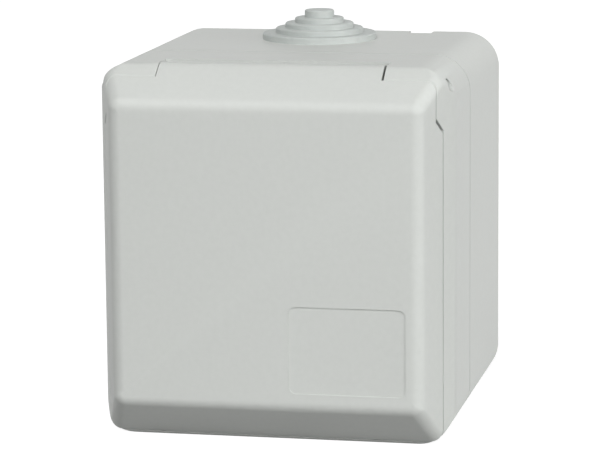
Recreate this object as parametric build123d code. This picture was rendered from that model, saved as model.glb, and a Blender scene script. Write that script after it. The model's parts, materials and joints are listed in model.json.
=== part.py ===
from build123d import *
import os
from math import sqrt

# Surface-mounted, splash-proof wall socket with a hinged lid.
# X runs to the right seen from the front, Y into the wall, Z up.
# The origin is the middle of the rear face, on the wall.
# A "depth" is measured from the flat front of the lid towards the wall.

# Housing
body_width = 66.0
body_height = 69.0
total_depth = 65.5
corner_radius = 6.65
side_bevel = 4.6
top_bevel = 6.1
bottom_bevel = 7.4
side_rise_depth = 11.7
top_rise_depth = 9.2
bottom_rise_depth = 7.85
front_corner_radius = 2.2
lid_corner_radius = 2.3
front_edge_radius = 2.8
crease_radius = 3.0
least_radius = 0.6
box_wall = 2.4
back_wall = 2.4
cover_wall = 2.2
parting_depth = 27.8
parting_gap = 0.25
parting_edge = 0.25

# Lid
lid_rim_depth = 7.1
lid_wall = 2.2
lid_gap = 0.3
label_width = 21.45
label_height = 16.0
label_side_margin = 2.8
label_bottom_margin = 2.9
label_recess = 0.15
label_corner = 1.4
seal_gap = 0.3
seal_width = 2.6
seal_rib_wall = 1.0
seal_rib_height = 1.6
seal_fit = 0.1

# Hinge
barrel_radius = 3.3
tongue_root = 1.5
tongue_inset_left = 11.8
tongue_inset_right = 12.7
hinge_gap_left = 0.15
hinge_gap_right = 0.4
pin_radius = 1.1
pin_fit = 0.05
pin_recess = 2.6
trough_gap = 1.0
trough_wall = 1.8
ear_front = 5.1
ear_top_front = 6.3
ear_neck_z = 29.4
ear_foot_z = 25.7
ear_root_z = 23.4
ear_back_wall = 2.0
ear_gap = 0.25
ear_foot_drop = 0.5
spring_wire = 0.6
spring_turns = 5
spring_pitch = 0.85
wire_sides = 8
spring_pocket_depth = 6.5
spring_pocket_radius = 2.6
spring_play = 0.3
leg_share = 0.9

# Socket well
well_above_base = 31.0
well_radius = 19.6
well_wall = 1.6
well_depth = 17.5
well_floor = 2.2
collar_wall = 2.9
collar_front = 4.6
flange_width = 2.1
flange_thickness = 2.0
well_fit = 0.2
pin_spacing = 19.0
pin_hole_radius = 2.95
rib_width = 4.0
rib_rise = 1.5
rib_lead = 3.4
rib_chamfer = 1.2

# Contacts and their carrier
carrier_width = 46.0
carrier_thickness = 16.7
carrier_corner = 3.0
sleeve_radius = 2.5
sleeve_wall = 0.8
sleeve_length = 12.2
sleeve_setback = 1.0
sleeve_slot = 1.0
sleeve_slot_length = 7.5
sleeve_room = 0.4
lug_height = 5.0
lug_depth = 4.0
lug_start = 7.7
terminal_offset = 14.0
terminal_width = 6.6
terminal_height = 9.0
terminal_length = 10.0
terminal_fit = 0.2
wire_hole_radius = 1.6
wire_hole_depth = 8.0
terminal_screw_radius = 1.5
terminal_screw_inset = 5.0
terminal_screw_rise = 1.0
earth_strip = 1.0
earth_width = 8.0
earth_leg_inset = 0.1
earth_leg_gap = 0.5
earth_slot_fit = 0.3
earth_slot_lead = 1.0
finger_reach = 2.4
finger_start = 4.9
finger_length = 4.0
earth_terminal_width = 9.0
earth_terminal_height = 8.0
earth_terminal_length = 7.5

# Support frame
frame_side_gap = 3.25
frame_thickness = 1.2
frame_corner = 4.0
frame_edge = 1.0
window_width = 20.0
window_margin = 3.0
window_corner = 1.5
wire_clearance = 1.6
post_inset = 6.0
post_radius = 3.2
post_web = 3.0
post_web_setback = 1.0

# Screws
screw_fit = 0.05
cover_screw_side_inset = 8.5
cover_screw_bottom_inset = 7.5
cover_screw_radius = 1.75
cover_screw_length = 29.0
cover_screw_head = 3.2
cover_screw_seat = 3.0
cover_boss_radius = 4.0
cover_tube_radius = 5.0
head_height = 2.0
head_rounding = 0.8
hole_play = 0.35
frame_screw_length = 9.0
frame_screw_head = 2.8
carrier_screw_side_inset = 5.0
carrier_screw_end_inset = 6.5
carrier_screw_length = 8.0
centre_screw_length = 11.0
centre_screw_head = 2.6
centre_boss_radius = 4.2
centre_boss_length = 2.0
small_screw_radius = 1.5
pilot_extra = 1.5
cross_width = 0.8
cross_share = 0.6

# Joint between cover and box
rim_band = 3.8
rim_band_depth = 4.0
groove_inset = 1.5
groove_width = 1.2
groove_depth = 1.2
hook_inset = 15.0
hook_width = 6.0
hook_thickness = 1.6
hook_root = 5.0
hook_fit = 0.2
hook_barb = 1.0
hook_barb_length = 1.5

# Box details
wall_hole_radius = 2.2
wall_hole_pitch = 40.0
notch_inset = 13.0
notch_width = 4.5
notch_depth = 3.2

# Cable grommet
grommet_wall_distance = 14.5
grommet_hole_radius = 9.0
grommet_flange_radius = 11.0
grommet_flange_height = 1.24
grommet_first_step = 8.5
grommet_step_in = 1.88
grommet_step_up = 0.97
grommet_steps = 3
grommet_tip_up = 1.45
grommet_wall = 1.0
grommet_lip = 1.2
grommet_lip_height = 1.5
grommet_edge = 0.2

# Solid modelling: how far fused shapes reach into each other, and cuts run past a face
overlap = 0.5
cut_past = 1.0
beyond = 5.0

# Values that follow from the sizes above
half_width = body_width / 2
half_height = body_height / 2
front_half_width = half_width - side_bevel
front_top = half_height - top_bevel
front_bottom = half_height - bottom_bevel
side_slope = side_bevel / side_rise_depth
top_slope = top_bevel / top_rise_depth
bottom_slope = bottom_bevel / bottom_rise_depth
cover_front = lid_rim_depth + lid_gap
box_front = parting_depth + parting_gap
label_right = front_half_width - label_side_margin
label_bottom = label_bottom_margin - front_bottom
floor_front = collar_front + well_depth
floor_back = floor_front + well_floor
carrier_back = floor_back + carrier_thickness
frame_back = carrier_back + frame_thickness
box_floor = total_depth - back_wall
barrel_z = half_height - barrel_radius
barrel_depth = (barrel_z + barrel_radius * sqrt(1 + top_slope**2) - front_top) / top_slope
trough_radius = barrel_radius + trough_gap
tongue_left = half_width - tongue_inset_left
tongue_right = half_width - tongue_inset_right
ear_left = tongue_left + hinge_gap_left
ear_right = tongue_right + hinge_gap_right
pin_bore = pin_radius + pin_fit
well_z = well_above_base - half_height
collar_radius = well_radius + collar_wall
pin_x = pin_spacing / 2
grommet_depth = total_depth - grommet_wall_distance
earth_leg_radius = well_radius - earth_leg_inset
frame_height = 2 * (earth_leg_radius - earth_leg_gap)
frame_width = body_width - 2 * frame_side_gap
carrier_height = frame_height - 2 * frame_edge
carrier_screw_x = carrier_width / 2 - carrier_screw_side_inset
carrier_screw_z = carrier_height / 2 - carrier_screw_end_inset
post_x = half_width - post_inset
cover_screw_x = half_width - cover_screw_side_inset
cover_screw_z = cover_screw_bottom_inset - half_height
hook_x = half_width - hook_inset
notch_right = half_width - notch_inset


def depth(value):
    """Y position of a depth behind the flat front."""
    return value - total_depth


def facing(value):
    """Plane across the housing at a depth, with its normal towards the viewer."""
    return Plane(origin=(0, depth(value), 0), x_dir=(1, 0, 0), z_dir=(0, -1, 0))


def slab(outline, front, back):
    """Solid with this outline seen from the front, between two depths."""
    return extrude(facing(back) * outline, amount=back - front)


def rod(x, z, radius, front, back):
    """Round solid along the depth."""
    return slab(Pos(x, z) * Circle(radius), front, back)


def beam(profile, left, right):
    """Solid with this profile of Y and Z, between two places along X."""
    side = Plane(origin=(left, 0, 0), x_dir=(0, 1, 0), z_dir=(1, 0, 0))
    return extrude(side * profile, amount=right - left)


def side_polygon(points):
    """Profile from points of depth and height."""
    return make_face(Polyline([(depth(d), z) for d, z in points], close=True))


def box_between(left, right, front, back, bottom, top):
    """Plain block between two places on each axis."""
    size = (right - left, back - front, top - bottom)
    middle = ((left + right) / 2, depth((front + back) / 2), (bottom + top) / 2)
    return Pos(*middle) * Box(*size)


# Outer form of the housing


def outline(inset=0.0):
    """The rounded rectangle of the box seen from the front."""
    radius = max(corner_radius - inset, least_radius)
    return RectangleRounded(body_width - 2 * inset, body_height - 2 * inset, radius)


def sloped_corner_radius(at):
    """Corner radius of the sloping front, which widens faster behind the lid."""
    if at <= lid_rim_depth:
        return front_corner_radius + (lid_corner_radius - front_corner_radius) * at / lid_rim_depth
    share = (at - lid_rim_depth) / (side_rise_depth - lid_rim_depth)
    return lid_corner_radius + (corner_radius - lid_corner_radius) * share


def sloped_outline(at, inset):
    """The outline of the sloping front at a depth, moved in by a wall."""
    side = front_half_width + side_slope * at - inset * sqrt(1 + side_slope**2)
    top = front_top + top_slope * at - inset * sqrt(1 + top_slope**2)
    bottom = front_bottom + bottom_slope * at - inset * sqrt(1 + bottom_slope**2)
    radius = max(sloped_corner_radius(at) - inset, least_radius)
    return Pos(0, (top - bottom) / 2) * RectangleRounded(2 * side, top + bottom, radius)


def sloped_front(front, back, inset=0.0):
    """The part of the housing that slopes in towards the front."""
    sections = [front, back]
    if front < lid_rim_depth < back:
        sections.insert(1, lid_rim_depth)
    faces = [(facing(at) * sloped_outline(at, inset)).face() for at in sections]
    return loft(faces, ruled=True)


def roundings():
    """Long block whose top front edge and side creases are rounded."""
    reach = half_height * 2
    top_line = [
        (-cut_past, front_top - cut_past * top_slope),
        (top_rise_depth, half_height),
        (total_depth, half_height),
        (total_depth, -reach),
        (-cut_past, -reach),
    ]
    profile = side_polygon(top_line)
    edge = profile.vertices().sort_by_distance((depth(top_rise_depth), half_height))[0]
    lengthwise = beam(fillet(edge, barrel_radius), -reach, reach)
    start = front_half_width - cut_past * side_slope
    plan = [
        (-start, depth(-cut_past)),
        (-half_width, depth(side_rise_depth)),
        (-half_width, 0),
        (half_width, 0),
        (half_width, depth(side_rise_depth)),
        (start, depth(-cut_past)),
    ]
    face = make_face(Polyline(plan, close=True))
    creases = [face.vertices().sort_by_distance((s * half_width, depth(side_rise_depth)))[0] for s in (-1, 1)]
    upright = Pos(0, 0, -reach) * extrude(fillet(creases, crease_radius), amount=2 * reach)
    return lengthwise & upright


def envelope(front, back):
    """Outer form of the housing between two depths."""
    body = slab(outline(), side_rise_depth, total_depth)
    sloping = sloped_front(0, side_rise_depth) & slab(outline(), 0, side_rise_depth)
    whole = (body + sloping) & roundings()
    return whole & box_between(-half_width, half_width, front, back, -half_height, half_height)


# Hinge shapes that lid and cover share


def ear_profile(foot_drop=0.0):
    """Side view of the hinge ears of the cover, and with a drop, of the room that they need."""
    above = half_height + beyond
    back = barrel_depth + barrel_radius + ear_back_wall
    return side_polygon(
        [
            (ear_top_front, above),
            (ear_top_front, front_top + top_slope * ear_top_front),
            (ear_front, ear_neck_z),
            (ear_front, ear_foot_z - foot_drop),
            (cover_front, ear_root_z - foot_drop),
            (back, ear_root_z - foot_drop),
            (back, above),
        ]
    )


def ears(profile, grow=0.0):
    """Both ear zones, from their inner faces outwards."""
    far = half_width + beyond
    left = beam(profile, -far, grow - ear_left)
    right = beam(profile, ear_right - grow, far)
    return left + right


def round_at_hinge(radius):
    """Disc around the hinge axis in side view."""
    return Pos(depth(barrel_depth), barrel_z) * Circle(radius)


def lid_cut_for_ears(extra):
    """Space that the lid leaves free around the ears.

    The edge of an ear comes nearer to the hinge axis all the way up from its
    root, so the same gap also clears it while the lid swings.
    """
    grown = offset(ear_profile(ear_foot_drop), amount=ear_gap + extra, kind=Kind.INTERSECTION)
    far = half_width + beyond
    left = beam(grown, -far, extra - tongue_left)
    right = beam(grown, tongue_right - extra, far)
    return left + right


def trough_profile(radius):
    """The trough that the hinge barrel turns in, open to the top."""
    above = half_height + beyond
    opening = side_polygon(
        [
            (barrel_depth, barrel_z),
            (barrel_depth + radius, barrel_z),
            (barrel_depth + radius, above),
            (barrel_depth, above),
        ]
    )
    return round_at_hinge(radius) + opening


def hinge_bore():
    """Bore for the hinge pin along X."""
    return beam(round_at_hinge(pin_bore), -half_width * 2, half_width * 2)


# Lid


def lid_tongue():
    """The top wall of the lid and the barrel that it ends in."""
    start = lid_rim_depth - tongue_root
    drop = lid_wall * sqrt(1 + top_slope**2)
    wall = side_polygon(
        [
            (start, front_top + top_slope * start),
            (barrel_depth, front_top + top_slope * barrel_depth),
            (barrel_depth, front_top + top_slope * barrel_depth - drop),
            (start, front_top + top_slope * start - drop),
        ]
    )
    solid = beam(wall, -tongue_left, tongue_right) & roundings()
    return solid + beam(round_at_hinge(barrel_radius), -tongue_left, tongue_right)


def label_field():
    """Shallow bare field for a label on the front of the lid."""
    middle = Pos(label_right - label_width / 2, label_bottom + label_height / 2)
    field = RectangleRounded(label_width, label_height, label_corner)
    return slab(middle * field, -cut_past, label_recess)


def seal_rib():
    """Rib on the inside of the lid that holds its seal."""
    inner = collar_radius + seal_fit
    back = lid_wall + seal_rib_height
    ring = Pos(0, well_z) * (Circle(inner + seal_rib_wall) - Circle(inner))
    return slab(ring, lid_wall - overlap, back)


def make_lid():
    shell = sloped_front(0, lid_rim_depth)
    front_edges = shell.faces().sort_by(Axis.Y)[0].edges()
    shell = fillet(front_edges, front_edge_radius)
    cavity = sloped_front(lid_wall, lid_rim_depth + cut_past, lid_wall)
    cavity -= lid_cut_for_ears(lid_wall)
    lid = shell - cavity - lid_cut_for_ears(0)
    lid += lid_tongue() + seal_rib()
    lid -= label_field()
    lid -= hinge_bore()
    pocket_start = tongue_right - spring_pocket_depth
    return lid - beam(round_at_hinge(spring_pocket_radius), pocket_start, tongue_right + cut_past)


def make_lid_seal():
    """Flat ring that the lid presses on the collar of the well."""
    ring = Pos(0, well_z) * (Circle(collar_radius) - Circle(collar_radius - seal_width))
    return slab(ring, lid_wall, collar_front - seal_gap)


def make_hinge_pin():
    reach = ear_outer_x() - pin_recess
    return beam(round_at_hinge(pin_radius), -reach, reach)


def ear_outer_x():
    """Half width of the housing at the height of the hinge."""
    centre_z = half_height - corner_radius
    centre_x = half_width - corner_radius
    return centre_x + sqrt(corner_radius**2 - (barrel_z - centre_z) ** 2)


def make_hinge_spring():
    """Closing spring around the pin, with its inner end bent in to the pin.

    The wire has eight flat sides, which keeps the faces of the fine coil few.
    """
    coil_radius = spring_pocket_radius - spring_play - spring_wire / 2
    length = spring_turns * spring_pitch
    coil = Helix(pitch=spring_pitch, height=length, radius=coil_radius)
    section = Plane(origin=coil @ 0, z_dir=coil % 0) * RegularPolygon(spring_wire / 2, wire_sides)
    spring = sweep(section, path=coil, is_frenet=True)
    reach = coil_radius - pin_radius
    leg = Pos(pin_radius + reach / 2, 0, 0) * Rot(0, 90, 0) * Cylinder(spring_wire * leg_share / 2, reach)
    start = tongue_right - spring_play - spring_wire / 2
    return Pos(start, depth(barrel_depth), barrel_z) * Rot(0, -90, 0) * (spring + leg)


# Cover


def make_cover_frame():
    ear = ear_profile()
    solid = envelope(cover_front, parting_depth)
    solid = chamfer(solid.faces().sort_by(Axis.Y)[-1].edges(), parting_edge)
    solid += envelope(0, cover_front) & ears(ear)
    cavity = slab(outline(cover_wall), cover_front + cover_wall, parting_depth)
    cavity &= slope_limited_cavity()
    cavity -= ears(ear, cover_wall)
    cavity -= beam(trough_profile(trough_radius + trough_wall), -half_width, half_width)
    solid -= cavity
    solid += rim_ring(parting_depth - rim_band_depth, parting_depth, cover_wall - overlap)
    for side in (-1, 1):
        x = side * cover_screw_x
        front = cover_front + cover_wall - overlap
        solid += rod(x, cover_screw_z, cover_tube_radius, front, parting_depth)
        solid += hook(side)
    solid -= beam(trough_profile(trough_radius), -ear_left, ear_right)
    solid -= rod(0, well_z, collar_radius + well_fit, 0, cover_front + cover_wall + cut_past)
    solid -= hinge_bore()
    for side in (-1, 1):
        x = side * cover_screw_x
        seat = cover_front + cover_screw_seat
        solid -= rod(x, cover_screw_z, cover_screw_head + hole_play, 0, seat)
        solid -= rod(x, cover_screw_z, cover_screw_radius + hole_play, 0, parting_depth + cut_past)
    return solid


def slope_limited_cavity():
    """Inner side of the sloping walls, and the straight stretch behind them."""
    sloping = sloped_front(cover_front, side_rise_depth, cover_wall)
    straight = slab(Rectangle(body_width, body_height), side_rise_depth, total_depth)
    return sloping + straight


def rim_ring(front, back, start):
    """Thicker band inside the rim where cover and box meet."""
    return slab(outline(start) - outline(rim_band), front, back)


def hook(side):
    """Hook of the cover that catches behind the rim of the box."""
    left = side * hook_x - hook_width / 2
    right = side * hook_x + hook_width / 2
    top = half_height - rim_band - hook_fit
    bottom = top - hook_thickness
    rim_end = box_front + rim_band_depth + hook_fit
    root = box_between(left, right, parting_depth - hook_root, parting_depth, bottom, half_height - cover_wall)
    finger = box_between(left, right, parting_depth - hook_root, rim_end + hook_barb_length, bottom, top)
    barb = box_between(left, right, rim_end, rim_end + hook_barb_length, bottom, top + hook_barb)
    return root + finger + barb


# Rear box


def make_rear_box():
    box = slab(outline(), box_front, total_depth)
    box -= slab(outline(box_wall), box_front, box_floor)
    box += rim_ring(box_front, box_front + rim_band_depth, box_wall - overlap)
    box -= slab(outline(groove_inset) - outline(groove_inset + groove_width), box_front, box_front + groove_depth)
    for side in (-1, 1):
        box += cover_boss(side)
        box += frame_post(side)
    for x, z in wall_holes():
        box -= rod(x, z, wall_hole_radius, box_floor - cut_past, total_depth + cut_past)
    box -= Pos(0, depth(grommet_depth), half_height) * Cylinder(grommet_hole_radius, 4 * box_wall)
    floor = half_height - box_wall
    notch_front = total_depth - notch_depth
    box -= box_between(notch_right - notch_width, notch_right, notch_front, total_depth + cut_past, floor, half_height + cut_past)
    return box


def wall_holes():
    """Places of the four holes for the wall screws."""
    reach = wall_hole_pitch / 2
    return [(x, z) for x in (-reach, reach) for z in (-reach, reach)]


def cover_boss(side):
    """Boss that a cover screw goes into."""
    x = side * cover_screw_x
    boss = rod(x, cover_screw_z, cover_boss_radius, parting_depth, box_floor + overlap)
    bore_end = cover_front + cover_screw_seat + cover_screw_length + pilot_extra
    return boss - rod(x, cover_screw_z, cover_screw_radius + screw_fit, 0, bore_end)


def frame_post(side):
    """Post on the back wall that carries the support frame, tied to the side wall."""
    x = side * post_x
    post = rod(x, well_z, post_radius, frame_back, box_floor + overlap)
    wall = side * (half_width - box_wall / 2)
    inner = min(x, wall)
    outer = max(x, wall)
    top = well_z + post_web / 2
    post += box_between(inner, outer, frame_back + post_web_setback, box_floor + overlap, top - post_web, top)
    return post - rod(x, well_z, small_screw_radius + screw_fit, 0, frame_bore_end())


def frame_bore_end():
    return carrier_back + frame_screw_length + pilot_extra


def make_body_seal():
    """Rubber cord in the groove of the box, up to the rim of the cover."""
    ring = outline(groove_inset) - outline(groove_inset + groove_width)
    return slab(ring, parting_depth, box_front + groove_depth)


def make_cable_grommet():
    """Stepped rubber cable entry, hollow from below, with a neck held in the wall."""
    radii = [grommet_first_step - grommet_step_in * i for i in range(grommet_steps + 1)]
    flange_top = half_height + grommet_flange_height
    tops = [flange_top + grommet_step_up * (i + 1) for i in range(grommet_steps)]
    tops.append(tops[-1] + grommet_tip_up)
    inner = half_height - box_wall
    solid = grommet_step(grommet_flange_radius, half_height, flange_top)
    for radius, top in zip(radii, tops):
        solid += grommet_step(radius, half_height, top)
    solid += upright(grommet_hole_radius, inner, half_height)
    solid += upright(grommet_hole_radius + grommet_lip, inner - grommet_lip_height, inner)
    for radius, top in zip(radii, tops):
        solid -= upright(radius - grommet_wall, inner - grommet_lip_height - cut_past, top - grommet_wall)
    return solid


def grommet_step(radius, bottom, top):
    """Round solid on the grommet's axis with its upper edge broken."""
    step = upright(radius, bottom, top)
    return chamfer(step.edges().sort_by(Axis.Z)[-1], grommet_edge)


def upright(radius, bottom, top):
    """Round solid on the grommet's axis between two heights."""
    middle = Pos(0, depth(grommet_depth), (bottom + top) / 2)
    return middle * Cylinder(radius, top - bottom)


# Socket well


def make_socket_well():
    outer = well_radius + well_wall
    flange_front = cover_front + cover_wall
    well = rod(0, well_z, outer, collar_front, floor_back)
    well += rod(0, well_z, collar_radius, collar_front, flange_front)
    well += rod(0, well_z, collar_radius + flange_width, flange_front, flange_front + flange_thickness)
    well -= rod(0, well_z, well_radius, 0, floor_front)
    for side in (-1, 1):
        well += guide_rib(side)
        well -= earth_slot(side)
        well -= rod(side * pin_x, well_z, pin_hole_radius, 0, total_depth)
    well += rod(0, well_z, centre_boss_radius, floor_back - overlap, floor_back + centre_boss_length)
    well -= rod(0, well_z, centre_screw_head + hole_play, 0, centre_seat())
    return well - rod(0, well_z, small_screw_radius + hole_play, 0, total_depth)


def centre_seat():
    """Depth that the head of the centre screw sits at, flush in the floor."""
    return floor_front + head_height


def guide_rib(side):
    """Rib along the side of the well that guides the plug."""
    inner = side * (well_radius - rib_rise)
    outer = side * (well_radius + well_wall / 2)
    rib = box_between(
        min(inner, outer),
        max(inner, outer),
        collar_front + rib_lead,
        floor_front + well_floor / 2,
        well_z - rib_width / 2,
        well_z + rib_width / 2,
    )
    lead = rib.edges().filter_by(Axis.Z).sort_by(Axis.Y)[:2].sort_by(lambda e: abs(e.center().X))[0]
    return chamfer(lead, rib_chamfer)


def earth_slot(side):
    """Slot in the well that an earth finger lies in."""
    near = earth_leg_radius - earth_slot_fit
    far = well_radius + well_wall + earth_slot_fit
    low = well_z + (near if side > 0 else -far)
    high = well_z + (far if side > 0 else -near)
    reach = earth_width / 2 + earth_slot_fit
    front = collar_front + finger_start - earth_slot_lead
    return box_between(-reach, reach, front, floor_back + cut_past, low, high)


# Contacts, terminals and their carrier


def make_contact_carrier():
    block = RectangleRounded(carrier_width, carrier_height, carrier_corner)
    carrier = slab(Pos(0, well_z) * block, floor_back, carrier_back)
    for side in (-1, 1):
        carrier -= contact_chamber(side)
        x = side * carrier_screw_x
        z = well_z + side * carrier_screw_z
        start = frame_back - carrier_screw_length - pilot_extra
        carrier -= rod(x, z, small_screw_radius + screw_fit, start, carrier_back + cut_past)
    bore_end = centre_seat() + centre_screw_length + pilot_extra
    boss_room = rod(0, well_z, centre_boss_radius + well_fit, floor_back - cut_past, floor_back + centre_boss_length)
    return carrier - boss_room - rod(0, well_z, small_screw_radius + screw_fit, floor_back, bore_end)


def contact_chamber(side):
    """Room in the carrier for one contact and its terminal."""
    radius = sleeve_radius + sleeve_wall + sleeve_room
    sleeve_back = floor_back + sleeve_setback + sleeve_length
    room = rod(side * pin_x, well_z, radius, floor_back - cut_past, sleeve_back + sleeve_room)
    lug_back = floor_back + sleeve_setback + lug_start + lug_depth
    half_lug = lug_height / 2 + terminal_fit
    room += sided_box(side, pin_x, terminal_offset, floor_back - cut_past, lug_back, half_lug)
    front = carrier_back - terminal_length - terminal_fit
    half_block = terminal_height / 2 + terminal_fit
    far = carrier_width / 2 + cut_past
    return room + sided_box(side, terminal_offset, far, front, carrier_back + cut_past, half_block)


def sided_box(side, near, far, front, back, half):
    """Block from near to far on one side of the middle, centred on the well's height."""
    left = min(side * near, side * far)
    right = max(side * near, side * far)
    return box_between(left, right, front, back, well_z - half, well_z + half)


def make_contact(side):
    """Split sleeve that grips a plug pin, with a lug to its terminal."""
    front = floor_back + sleeve_setback
    back = front + sleeve_length
    x = side * pin_x
    sleeve = rod(x, well_z, sleeve_radius + sleeve_wall, front, back)
    lug_front = front + lug_start
    sleeve += sided_box(side, pin_x, terminal_offset, lug_front, lug_front + lug_depth, lug_height / 2)
    sleeve -= rod(x, well_z, sleeve_radius, front - cut_past, back + cut_past)
    half = sleeve_slot / 2
    reach = sleeve_radius + sleeve_wall + cut_past
    slot_back = front + sleeve_slot_length
    return sleeve - box_between(x - half, x + half, front - cut_past, slot_back, well_z - reach, well_z + reach)


def make_terminal(side):
    """Brass clamp block with a wire hole from the back and a screw from the side."""
    front = carrier_back - terminal_length
    far = terminal_offset + terminal_width
    block = sided_box(side, terminal_offset, far, front, carrier_back, terminal_height / 2)
    x = side * (terminal_offset + terminal_width / 2)
    block -= rod(x, well_z, wire_hole_radius, carrier_back - wire_hole_depth, carrier_back + cut_past)
    bore = Rot(0, side * 90, 0) * Cylinder(terminal_screw_radius + screw_fit, terminal_width)
    at = carrier_back - terminal_screw_inset
    return block - Pos(x + side * terminal_width / 2, depth(at), well_z) * bore


def make_terminal_screw(side):
    """Headless screw of a side terminal, with its tip at the wire hole."""
    length = terminal_width / 2 - wire_hole_radius / 2 + terminal_screw_rise
    screw = grub_screw(length)
    x = side * (terminal_offset + terminal_width + terminal_screw_rise)
    at = depth(carrier_back - terminal_screw_inset)
    return Pos(x, at, well_z) * Rot(0, -side * 90, 0) * screw


def grub_screw(length):
    """Slotted screw without a head, from its slotted end along +Z."""
    body = Pos(0, 0, length / 2) * Cylinder(terminal_screw_radius, length)
    slot = Box(4 * terminal_screw_radius, cross_width, 2 * cross_width)
    return body - slot


def make_earth_bow():
    """Bent strip with a finger at the top and at the bottom of the well."""
    leg = earth_leg_radius + earth_strip / 2
    start = collar_front + finger_start
    back = frame_back + earth_strip / 2
    bend = start + finger_length
    upper = [
        (start, leg),
        (bend, leg - finger_reach),
        (bend + finger_length, leg),
        (back, leg),
    ]
    lower = [(d, -r) for d, r in reversed(upper)]
    path = [(depth(d), well_z + r) for d, r in upper + lower]
    line = FilletPolyline(path, radius=earth_strip)
    return beam(trace(line, line_width=earth_strip), -earth_width / 2, earth_width / 2)


def earth_terminal_front():
    return frame_back + earth_strip


def make_earth_terminal():
    """Brass block behind the earth bow with an upright wire hole."""
    front = earth_terminal_front()
    reach = earth_terminal_width / 2
    high = well_z + earth_terminal_height / 2
    low = high - earth_terminal_height
    block = box_between(-reach, reach, front, front + earth_terminal_length, low, high)
    middle = Pos(0, depth(front + earth_terminal_length / 2), well_z)
    block -= middle * Cylinder(wire_hole_radius, 2 * earth_terminal_height)
    bore_front = front + earth_terminal_length / 2
    return block - rod(0, well_z, terminal_screw_radius + screw_fit, bore_front, total_depth)


def make_earth_terminal_screw():
    length = earth_terminal_length / 2 - wire_hole_radius / 2 + terminal_screw_rise
    at = depth(earth_terminal_front() + earth_terminal_length + terminal_screw_rise)
    return Pos(0, at, well_z) * Rot(90, 0, 0) * grub_screw(length)


def make_support_frame():
    """Steel plate that carries the insert, on the two posts of the box."""
    plate = RectangleRounded(frame_width, frame_height, frame_corner)
    plate -= RectangleRounded(window_width, frame_height - 2 * window_margin, window_corner)
    for side in (-1, 1):
        wire_x = side * (terminal_offset + terminal_width / 2)
        plate -= Pos(wire_x, 0) * Circle(wire_hole_radius + wire_clearance)
        plate -= Pos(side * post_x, 0) * Circle(small_screw_radius + hole_play)
        place = Pos(side * carrier_screw_x, side * carrier_screw_z)
        plate -= place * Circle(small_screw_radius + hole_play)
    return slab(Pos(0, well_z) * plate, carrier_back, frame_back)


# Screws


def headed_screw(head_radius, radius, length):
    """Cross-head screw: head below Z=0, shank along +Z."""
    head = Pos(0, 0, -head_height / 2) * Cylinder(head_radius, head_height)
    rim = head.edges().sort_by(Axis.Z)[0]
    head = fillet(rim, head_rounding)
    shank = Pos(0, 0, length / 2) * Cylinder(radius, length)
    arm = 2 * head_radius * cross_share
    cross = Box(arm, cross_width, head_height) + Box(cross_width, arm, head_height)
    return head + shank - Pos(0, 0, -head_height) * cross


def inward(x, z, at):
    """Place for a screw that points into the wall, with its head seat at a depth."""
    return Pos(x, depth(at), z) * Rot(-90, 0, 0)


def outward(x, z, at):
    """Place for a screw that points to the front, with its head seat at a depth."""
    return Pos(x, depth(at), z) * Rot(90, 0, 0)


def make_cover_screw(side):
    screw = headed_screw(cover_screw_head, cover_screw_radius, cover_screw_length)
    return inward(side * cover_screw_x, cover_screw_z, cover_front + cover_screw_seat) * screw


def make_frame_screw(side):
    screw = headed_screw(frame_screw_head, small_screw_radius, frame_screw_length)
    return inward(side * post_x, well_z, carrier_back) * screw


def make_carrier_screw(side):
    screw = headed_screw(frame_screw_head, small_screw_radius, carrier_screw_length)
    z = well_z + side * carrier_screw_z
    return outward(side * carrier_screw_x, z, frame_back) * screw


def make_centre_screw():
    screw = headed_screw(centre_screw_head, small_screw_radius, centre_screw_length)
    return inward(0, well_z, centre_seat()) * screw


pieces = {
    "rear_box": make_rear_box(),
    "cover_frame": make_cover_frame(),
    "body_seal": make_body_seal(),
    "cable_grommet": make_cable_grommet(),
    "lid": make_lid(),
    "lid_seal": make_lid_seal(),
    "hinge_pin": make_hinge_pin(),
    "hinge_spring": make_hinge_spring(),
    "socket_well": make_socket_well(),
    "contact_carrier": make_contact_carrier(),
    "live_contact": make_contact(1),
    "neutral_contact": make_contact(-1),
    "live_terminal": make_terminal(1),
    "neutral_terminal": make_terminal(-1),
    "live_terminal_screw": make_terminal_screw(1),
    "neutral_terminal_screw": make_terminal_screw(-1),
    "earth_bow": make_earth_bow(),
    "earth_terminal": make_earth_terminal(),
    "earth_terminal_screw": make_earth_terminal_screw(),
    "support_frame": make_support_frame(),
    "centre_screw": make_centre_screw(),
}
for side, word in ((-1, "left"), (1, "right")):
    pieces[f"cover_screw_{word}"] = make_cover_screw(side)
    pieces[f"frame_screw_{word}"] = make_frame_screw(side)
    pieces[f"carrier_screw_{word}"] = make_carrier_screw(side)

os.makedirs("parts", exist_ok=True)
for name, piece in pieces.items():
    export_step(piece, f"parts/{name}.step")
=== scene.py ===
import bpy
import bmesh
import json
import math
from mathutils import Matrix, Vector


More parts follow.
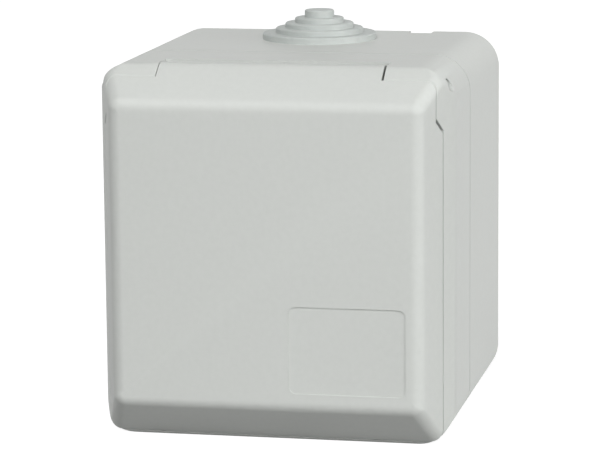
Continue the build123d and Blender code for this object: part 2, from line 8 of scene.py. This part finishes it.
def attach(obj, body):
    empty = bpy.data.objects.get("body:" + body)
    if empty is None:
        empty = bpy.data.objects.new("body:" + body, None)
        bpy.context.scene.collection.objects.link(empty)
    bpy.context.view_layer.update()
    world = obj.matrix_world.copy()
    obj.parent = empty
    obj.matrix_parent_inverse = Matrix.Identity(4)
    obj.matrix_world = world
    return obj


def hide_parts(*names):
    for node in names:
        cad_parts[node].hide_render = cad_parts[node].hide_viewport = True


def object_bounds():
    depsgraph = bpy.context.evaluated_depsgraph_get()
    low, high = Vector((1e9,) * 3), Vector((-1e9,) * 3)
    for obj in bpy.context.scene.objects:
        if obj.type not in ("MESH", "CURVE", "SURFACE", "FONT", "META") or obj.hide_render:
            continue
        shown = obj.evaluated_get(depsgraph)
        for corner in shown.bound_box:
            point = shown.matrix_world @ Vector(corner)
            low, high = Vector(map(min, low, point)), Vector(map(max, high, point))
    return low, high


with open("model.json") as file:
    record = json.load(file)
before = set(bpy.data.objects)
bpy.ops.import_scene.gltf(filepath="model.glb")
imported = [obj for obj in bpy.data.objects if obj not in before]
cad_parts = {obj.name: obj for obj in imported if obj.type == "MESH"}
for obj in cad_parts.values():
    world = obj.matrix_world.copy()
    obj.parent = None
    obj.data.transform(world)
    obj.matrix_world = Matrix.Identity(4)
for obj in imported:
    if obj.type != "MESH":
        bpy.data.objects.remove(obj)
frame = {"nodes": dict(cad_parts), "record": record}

cad_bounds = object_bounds()
nodes = frame["nodes"]
record = frame["record"]

MM = 0.001

# Viewpoint of the photograph, in the part's own frame

view_azimuth = math.radians(11.90)
view_elevation = math.radians(10.08)
view_roll = math.radians(-0.516)
view_place = Vector((115.44, -582.36, 100.74)) * MM
view_lens = 180.11
film_width = 36.0

# Colours, linear

housing_light = (0.640, 0.659, 0.634)
housing_dark = (0.628, 0.647, 0.622)
carrier_light = (0.42, 0.41, 0.36)
carrier_dark = (0.36, 0.35, 0.30)
grommet_light = (0.502, 0.530, 0.514)
grommet_dark = (0.466, 0.494, 0.478)
seal_light = (0.034, 0.034, 0.036)
seal_dark = (0.020, 0.020, 0.021)
brass_light = (0.74, 0.54, 0.25)
brass_dark = (0.60, 0.41, 0.16)
zinc_light = (0.60, 0.61, 0.63)
zinc_dark = (0.46, 0.47, 0.49)
spring_light = (0.52, 0.52, 0.53)
spring_dark = (0.40, 0.40, 0.41)
floor_light = (0.31, 0.31, 0.31)
floor_dark = (0.29, 0.29, 0.29)
white = (1.0, 1.0, 1.0)

# Finish: features of the noise per metre, shares of the noise where a blend of two colours
# starts and ends, depths of the bumps in metres

blend_start = 0.35
blend_end = 0.65
fleck_scale = 900.0
plastic_grain_scale = 5200.0
plastic_grain_depth = 0.00004
plastic_roughness_spread = 0.05
plastic_ior = 1.46
plastic_specular = 0.12
mottle_scale = 420.0
skin_scale = 2600.0
skin_depth = 0.00006
rubber_roughness_spread = 0.06
rubber_ior = 1.5
drawing_scale = 900.0
drawing_depth = 0.00003
drawing_strength = 0.15
paper_scale = 40.0

# Skins: vertices this near are one, faces this flat are one, and sharper edges stay sharp

weld_distance = 2e-6
flat_angle = math.radians(0.4)
crease_angle = math.radians(24.0)

# Studio

lamp_size = 2.6
lamp_distance = 4.0
fill_light = 0.03
floor_glow = 0.92
floor_half_width = 6.0


# Material building


def new_material(name):
    """New material with its node tree and its shader."""
    material = bpy.data.materials.new(name)
    material.use_nodes = True
    tree = material.node_tree
    shader = tree.nodes["Principled BSDF"]
    return material, tree, shader


def noise(tree, scale, detail=2.0, roughness=0.5):
    """Noise in object space, with its scale in features per metre."""
    place = tree.nodes.new("ShaderNodeTexCoord")
    texture = tree.nodes.new("ShaderNodeTexNoise")
    texture.inputs["Scale"].default_value = scale
    texture.inputs["Detail"].default_value = detail
    texture.inputs["Roughness"].default_value = roughness
    tree.links.new(place.outputs["Object"], texture.inputs["Vector"])
    return texture.outputs["Fac"]


def blend_colours(tree, factor, dark, light):
    """Colour between dark and light, by the factor."""
    ramp = tree.nodes.new("ShaderNodeValToRGB")
    ramp.color_ramp.elements[0].position = blend_start
    ramp.color_ramp.elements[1].position = blend_end
    ramp.color_ramp.elements[0].color = (*dark, 1.0)
    ramp.color_ramp.elements[1].color = (*light, 1.0)
    tree.links.new(factor, ramp.inputs["Fac"])
    return ramp.outputs["Color"]


def vary_roughness(tree, factor, low, high, shader):
    """Roughness between low and high, by the factor."""
    spread = tree.nodes.new("ShaderNodeMapRange")
    spread.inputs["To Min"].default_value = low
    spread.inputs["To Max"].default_value = high
    tree.links.new(factor, spread.inputs["Value"])
    tree.links.new(spread.outputs["Result"], shader.inputs["Roughness"])


def bump(tree, height, strength, distance, shader):
    """Fine relief on the shader's surface."""
    node = tree.nodes.new("ShaderNodeBump")
    node.inputs["Strength"].default_value = strength
    node.inputs["Distance"].default_value = distance
    tree.links.new(height, node.inputs["Height"])
    tree.links.new(node.outputs["Normal"], shader.inputs["Normal"])


def moulded_plastic(name, dark, light, roughness, grain):
    """Satin moulded plastic: faint colour flecks and a fine spark-eroded grain."""
    material, tree, shader = new_material(name)
    flecks = noise(tree, fleck_scale, 3.0)
    tree.links.new(blend_colours(tree, flecks, dark, light), shader.inputs["Base Color"])
    fine = noise(tree, plastic_grain_scale, 2.0, 0.6)
    spread = plastic_roughness_spread
    vary_roughness(tree, fine, roughness - spread, roughness + spread, shader)
    bump(tree, fine, grain, plastic_grain_depth, shader)
    shader.inputs["IOR"].default_value = plastic_ior
    shader.inputs["Specular IOR Level"].default_value = plastic_specular
    return material


def rubber(name, dark, light, roughness, grain):
    """Soft rubber: mottled colour and a matte, slightly uneven skin."""
    material, tree, shader = new_material(name)
    mottle = noise(tree, mottle_scale, 4.0, 0.65)
    tree.links.new(blend_colours(tree, mottle, dark, light), shader.inputs["Base Color"])
    skin = noise(tree, skin_scale, 3.0, 0.6)
    spread = rubber_roughness_spread
    vary_roughness(tree, skin, roughness - spread, roughness + spread, shader)
    bump(tree, skin, grain, skin_depth, shader)
    shader.inputs["IOR"].default_value = rubber_ior
    return material


def metal(name, dark, light, roughness, stretch):
    """Metal with fine drawing lines, packed closer along the axes that stretch names."""
    material, tree, shader = new_material(name)
    place = tree.nodes.new("ShaderNodeTexCoord")
    mapping = tree.nodes.new("ShaderNodeMapping")
    mapping.inputs["Scale"].default_value = stretch
    texture = tree.nodes.new("ShaderNodeTexNoise")
    texture.inputs["Scale"].default_value = drawing_scale
    texture.inputs["Detail"].default_value = 4.0
    tree.links.new(place.outputs["Object"], mapping.inputs["Vector"])
    tree.links.new(mapping.outputs["Vector"], texture.inputs["Vector"])
    lines = texture.outputs["Fac"]
    tree.links.new(blend_colours(tree, lines, dark, light), shader.inputs["Base Color"])
    vary_roughness(tree, lines, roughness - 0.06, roughness + 0.08, shader)
    bump(tree, lines, drawing_strength, drawing_depth, shader)
    shader.inputs["Metallic"].default_value = 1.0
    return material


housing = moulded_plastic("housing_plastic", housing_dark, housing_light, 0.42, 0.10)
insert = moulded_plastic("insert_plastic", housing_dark, housing_light, 0.36, 0.06)
carrier = moulded_plastic("carrier_plastic", carrier_dark, carrier_light, 0.55, 0.20)
cable_rubber = rubber("cable_entry_rubber", grommet_dark, grommet_light, 0.55, 0.25)
seal_rubber = rubber("seal_rubber", seal_dark, seal_light, 0.68, 0.35)
brass = metal("contact_brass", brass_dark, brass_light, 0.30, (1.0, 9.0, 1.0))
zinc = metal("zinc_steel", zinc_dark, zinc_light, 0.34, (6.0, 1.0, 1.0))
spring_steel = metal("spring_steel", spring_dark, spring_light, 0.26, (1.0, 6.0, 1.0))

finishes = {
    "housing_grey": housing,
    "insert_grey": insert,
    "carrier_plastic": carrier,
    "seal_rubber": seal_rubber,
    "grommet_rubber": cable_rubber,
    "contact_brass": brass,
    "zinc_steel": zinc,
}


def dress(piece, material):
    """Gives a piece one finish."""
    piece.data.materials.clear()
    piece.data.materials.append(material)


def dress_nodes():
    """Gives every carried node the finish of its slot."""
    slots = {part["node"]: part["material_slot"] for part in record["subparts"]}
    for name, piece in nodes.items():
        dress(piece, finishes[slots[name]])
    dress(nodes["hinge_spring"], spring_steel)


dress_nodes()

# Smooth skins


def smooth_skin(node):
    """Stands a welded copy that shades smooth in for a node, in the same place."""
    source = nodes[node]
    mesh = source.data.copy()
    mesh.name = node + "_skin"
    piece = bpy.data.objects.new(node + "_skin", mesh)
    bpy.context.scene.collection.objects.link(piece)
    form = bmesh.new()
    form.from_mesh(mesh)
    bmesh.ops.remove_doubles(form, verts=form.verts, dist=weld_distance)
    bmesh.ops.dissolve_limit(form, angle_limit=flat_angle, verts=form.verts, edges=form.edges)
    for face in form.faces:
        face.smooth = True
    for edge in form.edges:
        edge.smooth = edge.calc_face_angle(0.0) < crease_angle
    form.to_mesh(mesh)
    form.free()
    body = next(b for b, names in record["behaviour"]["bodies"].items() if node in names)
    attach(piece, body)
    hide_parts(node)


for shell in ("lid", "cover_frame", "rear_box", "cable_grommet"):
    smooth_skin(shell)

# Floor


def direct_look(tree):
    """One for rays of the camera, of reflections and of clear materials."""
    path = tree.nodes.new("ShaderNodeLightPath")
    total = path.outputs["Is Camera Ray"]
    for kind in ("Is Glossy Ray", "Is Transmission Ray"):
        larger = tree.nodes.new("ShaderNodeMath")
        larger.operation = "MAXIMUM"
        tree.links.new(total, larger.inputs[0])
        tree.links.new(path.outputs[kind], larger.inputs[1])
        total = larger.outputs["Value"]
    return total


def make_floor():
    """Plain pale floor that the part stands on, white to the camera, with the part's shadow."""
    mesh = bpy.data.meshes.new("floor")
    form = bmesh.new()
    bmesh.ops.create_grid(form, x_segments=1, y_segments=1, size=floor_half_width)
    form.to_mesh(mesh)
    form.free()
    floor = bpy.data.objects.new("floor", mesh)
    bpy.context.scene.collection.objects.link(floor)
    floor.location.z = cad_bounds[0][2]
    material, tree, shader = new_material("floor_paper")
    paper = noise(tree, paper_scale, 3.0)
    colour = blend_colours(tree, paper, floor_dark, floor_light)
    tree.links.new(colour, shader.inputs["Base Color"])
    shader.inputs["Roughness"].default_value = 0.9
    shader.inputs["Specular IOR Level"].default_value = 0.0
    glow = tree.nodes.new("ShaderNodeEmission")
    glow.inputs["Color"].default_value = (floor_glow, floor_glow, floor_glow, 1.0)
    tree.links.new(direct_look(tree), glow.inputs["Strength"])
    both = tree.nodes.new("ShaderNodeAddShader")
    end = tree.nodes["Material Output"]
    tree.links.new(shader.outputs["BSDF"], both.inputs[0])
    tree.links.new(glow.outputs["Emission"], both.inputs[1])
    tree.links.new(both.outputs["Shader"], end.inputs["Surface"])
    dress(floor, material)


make_floor()

# Light


def lamp(name, azimuth, elevation, power):
    """Square soft light that looks at the middle of the part from one direction."""
    data = bpy.data.lights.new(name, "AREA")
    data.shape = "SQUARE"
    data.size = lamp_size
    data.energy = power
    light = bpy.data.objects.new(name, data)
    bpy.context.scene.collection.objects.link(light)
    around = Matrix.Rotation(math.radians(azimuth), 3, "Z")
    upward = Matrix.Rotation(math.radians(-elevation), 3, "X")
    direction = around @ upward @ Vector((0.0, -1.0, 0.0))
    middle = (Vector(cad_bounds[0]) + Vector(cad_bounds[1])) / 2
    light.location = middle + direction * lamp_distance
    light.rotation_euler = direction.to_track_quat("Z", "Y").to_euler()
    return light


lamp("left_front_light", -18.0, 47.0, 110.0)
lamp("right_front_light", 25.0, 32.0, 43.0)
lamp("right_light", 60.0, 8.0, 50.0)
lamp("right_low_light", 78.0, -6.0, 188.0)
back_light = lamp("back_light", 180.0, -6.0, 70.0)
back_light.visible_glossy = False


def light_world():
    """Weak even light from all round, and white where the camera or a reflection looks."""
    world = bpy.data.worlds.new("studio")
    bpy.context.scene.world = world
    world.use_nodes = True
    tree = world.node_tree
    back = tree.nodes["Background"]
    back.inputs["Color"].default_value = (*white, 1.0)
    back.inputs["Strength"].default_value = fill_light
    shown = tree.nodes.new("ShaderNodeBackground")
    shown.inputs["Color"].default_value = (*white, 1.0)
    shown.inputs["Strength"].default_value = 1.0
    seen = direct_look(tree)
    mix = tree.nodes.new("ShaderNodeMixShader")
    end = tree.nodes["World Output"]
    tree.links.new(seen, mix.inputs["Fac"])
    tree.links.new(back.outputs["Background"], mix.inputs[1])
    tree.links.new(shown.outputs["Background"], mix.inputs[2])
    tree.links.new(mix.outputs["Shader"], end.inputs["Surface"])


light_world()

# Camera


def make_camera():
    """Camera where the photograph was taken from."""
    data = bpy.data.cameras.new("camera")
    data.lens = view_lens
    data.sensor_width = film_width
    data.clip_start = 0.01
    data.clip_end = 20.0
    camera = bpy.data.objects.new("camera", data)
    bpy.context.scene.collection.objects.link(camera)
    turn = Matrix.Rotation(view_azimuth, 4, "Z")
    tilt = Matrix.Rotation(math.pi / 2 - view_elevation, 4, "X")
    roll = Matrix.Rotation(view_roll, 4, "Z")
    camera.matrix_world = Matrix.Translation(view_place) @ turn @ tilt @ roll
    bpy.context.scene.camera = camera


make_camera()
bpy.context.scene.view_settings.view_transform = "Standard"
